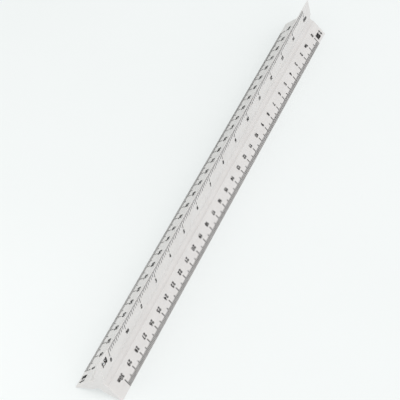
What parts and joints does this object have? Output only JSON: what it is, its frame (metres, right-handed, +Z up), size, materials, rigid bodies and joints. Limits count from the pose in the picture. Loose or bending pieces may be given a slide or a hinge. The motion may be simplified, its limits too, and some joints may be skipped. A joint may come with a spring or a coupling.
{
  "type": "triangular scale ruler",
  "caption": "Triangular scale ruler: a straight fluted plastic bar with three edges and a printed reduction scale along both faces of every edge.",
  "frame": {"origin": "the middle of the ruler's length, midway between the two lower edges, on the surface they rest on", "axes": "+X along the ruler, towards the end where the 1:50 scale on the crest ends; +Z up, from the resting edges to the crest; +Y to the left of someone looking along +X"},
  "size_m": [0.322, 0.025, 0.0217],
  "materials": {
    "white_plastic": "white extruded plastic, satin",
    "black_ink": "black printing ink, flat"
  },
  "bodies": {
    "root": {"ruler_body": "white_plastic", "lines_1_50": "black_ink", "figures_1_50": "black_ink", "title_1_50": "black_ink", "lines_1_100": "black_ink", "figures_1_100": "black_ink", "title_1_100": "black_ink", "lines_1_10": "black_ink", "figures_1_10": "black_ink", "title_1_10": "black_ink", "lines_1_20": "black_ink", "figures_1_20": "black_ink", "title_1_20": "black_ink", "lines_1_5": "black_ink", "figures_1_5": "black_ink", "title_1_5": "black_ink", "lines_1_2p5": "black_ink", "figures_1_2p5": "black_ink", "title_1_2p5": "black_ink"}
  },
  "joints": []
}
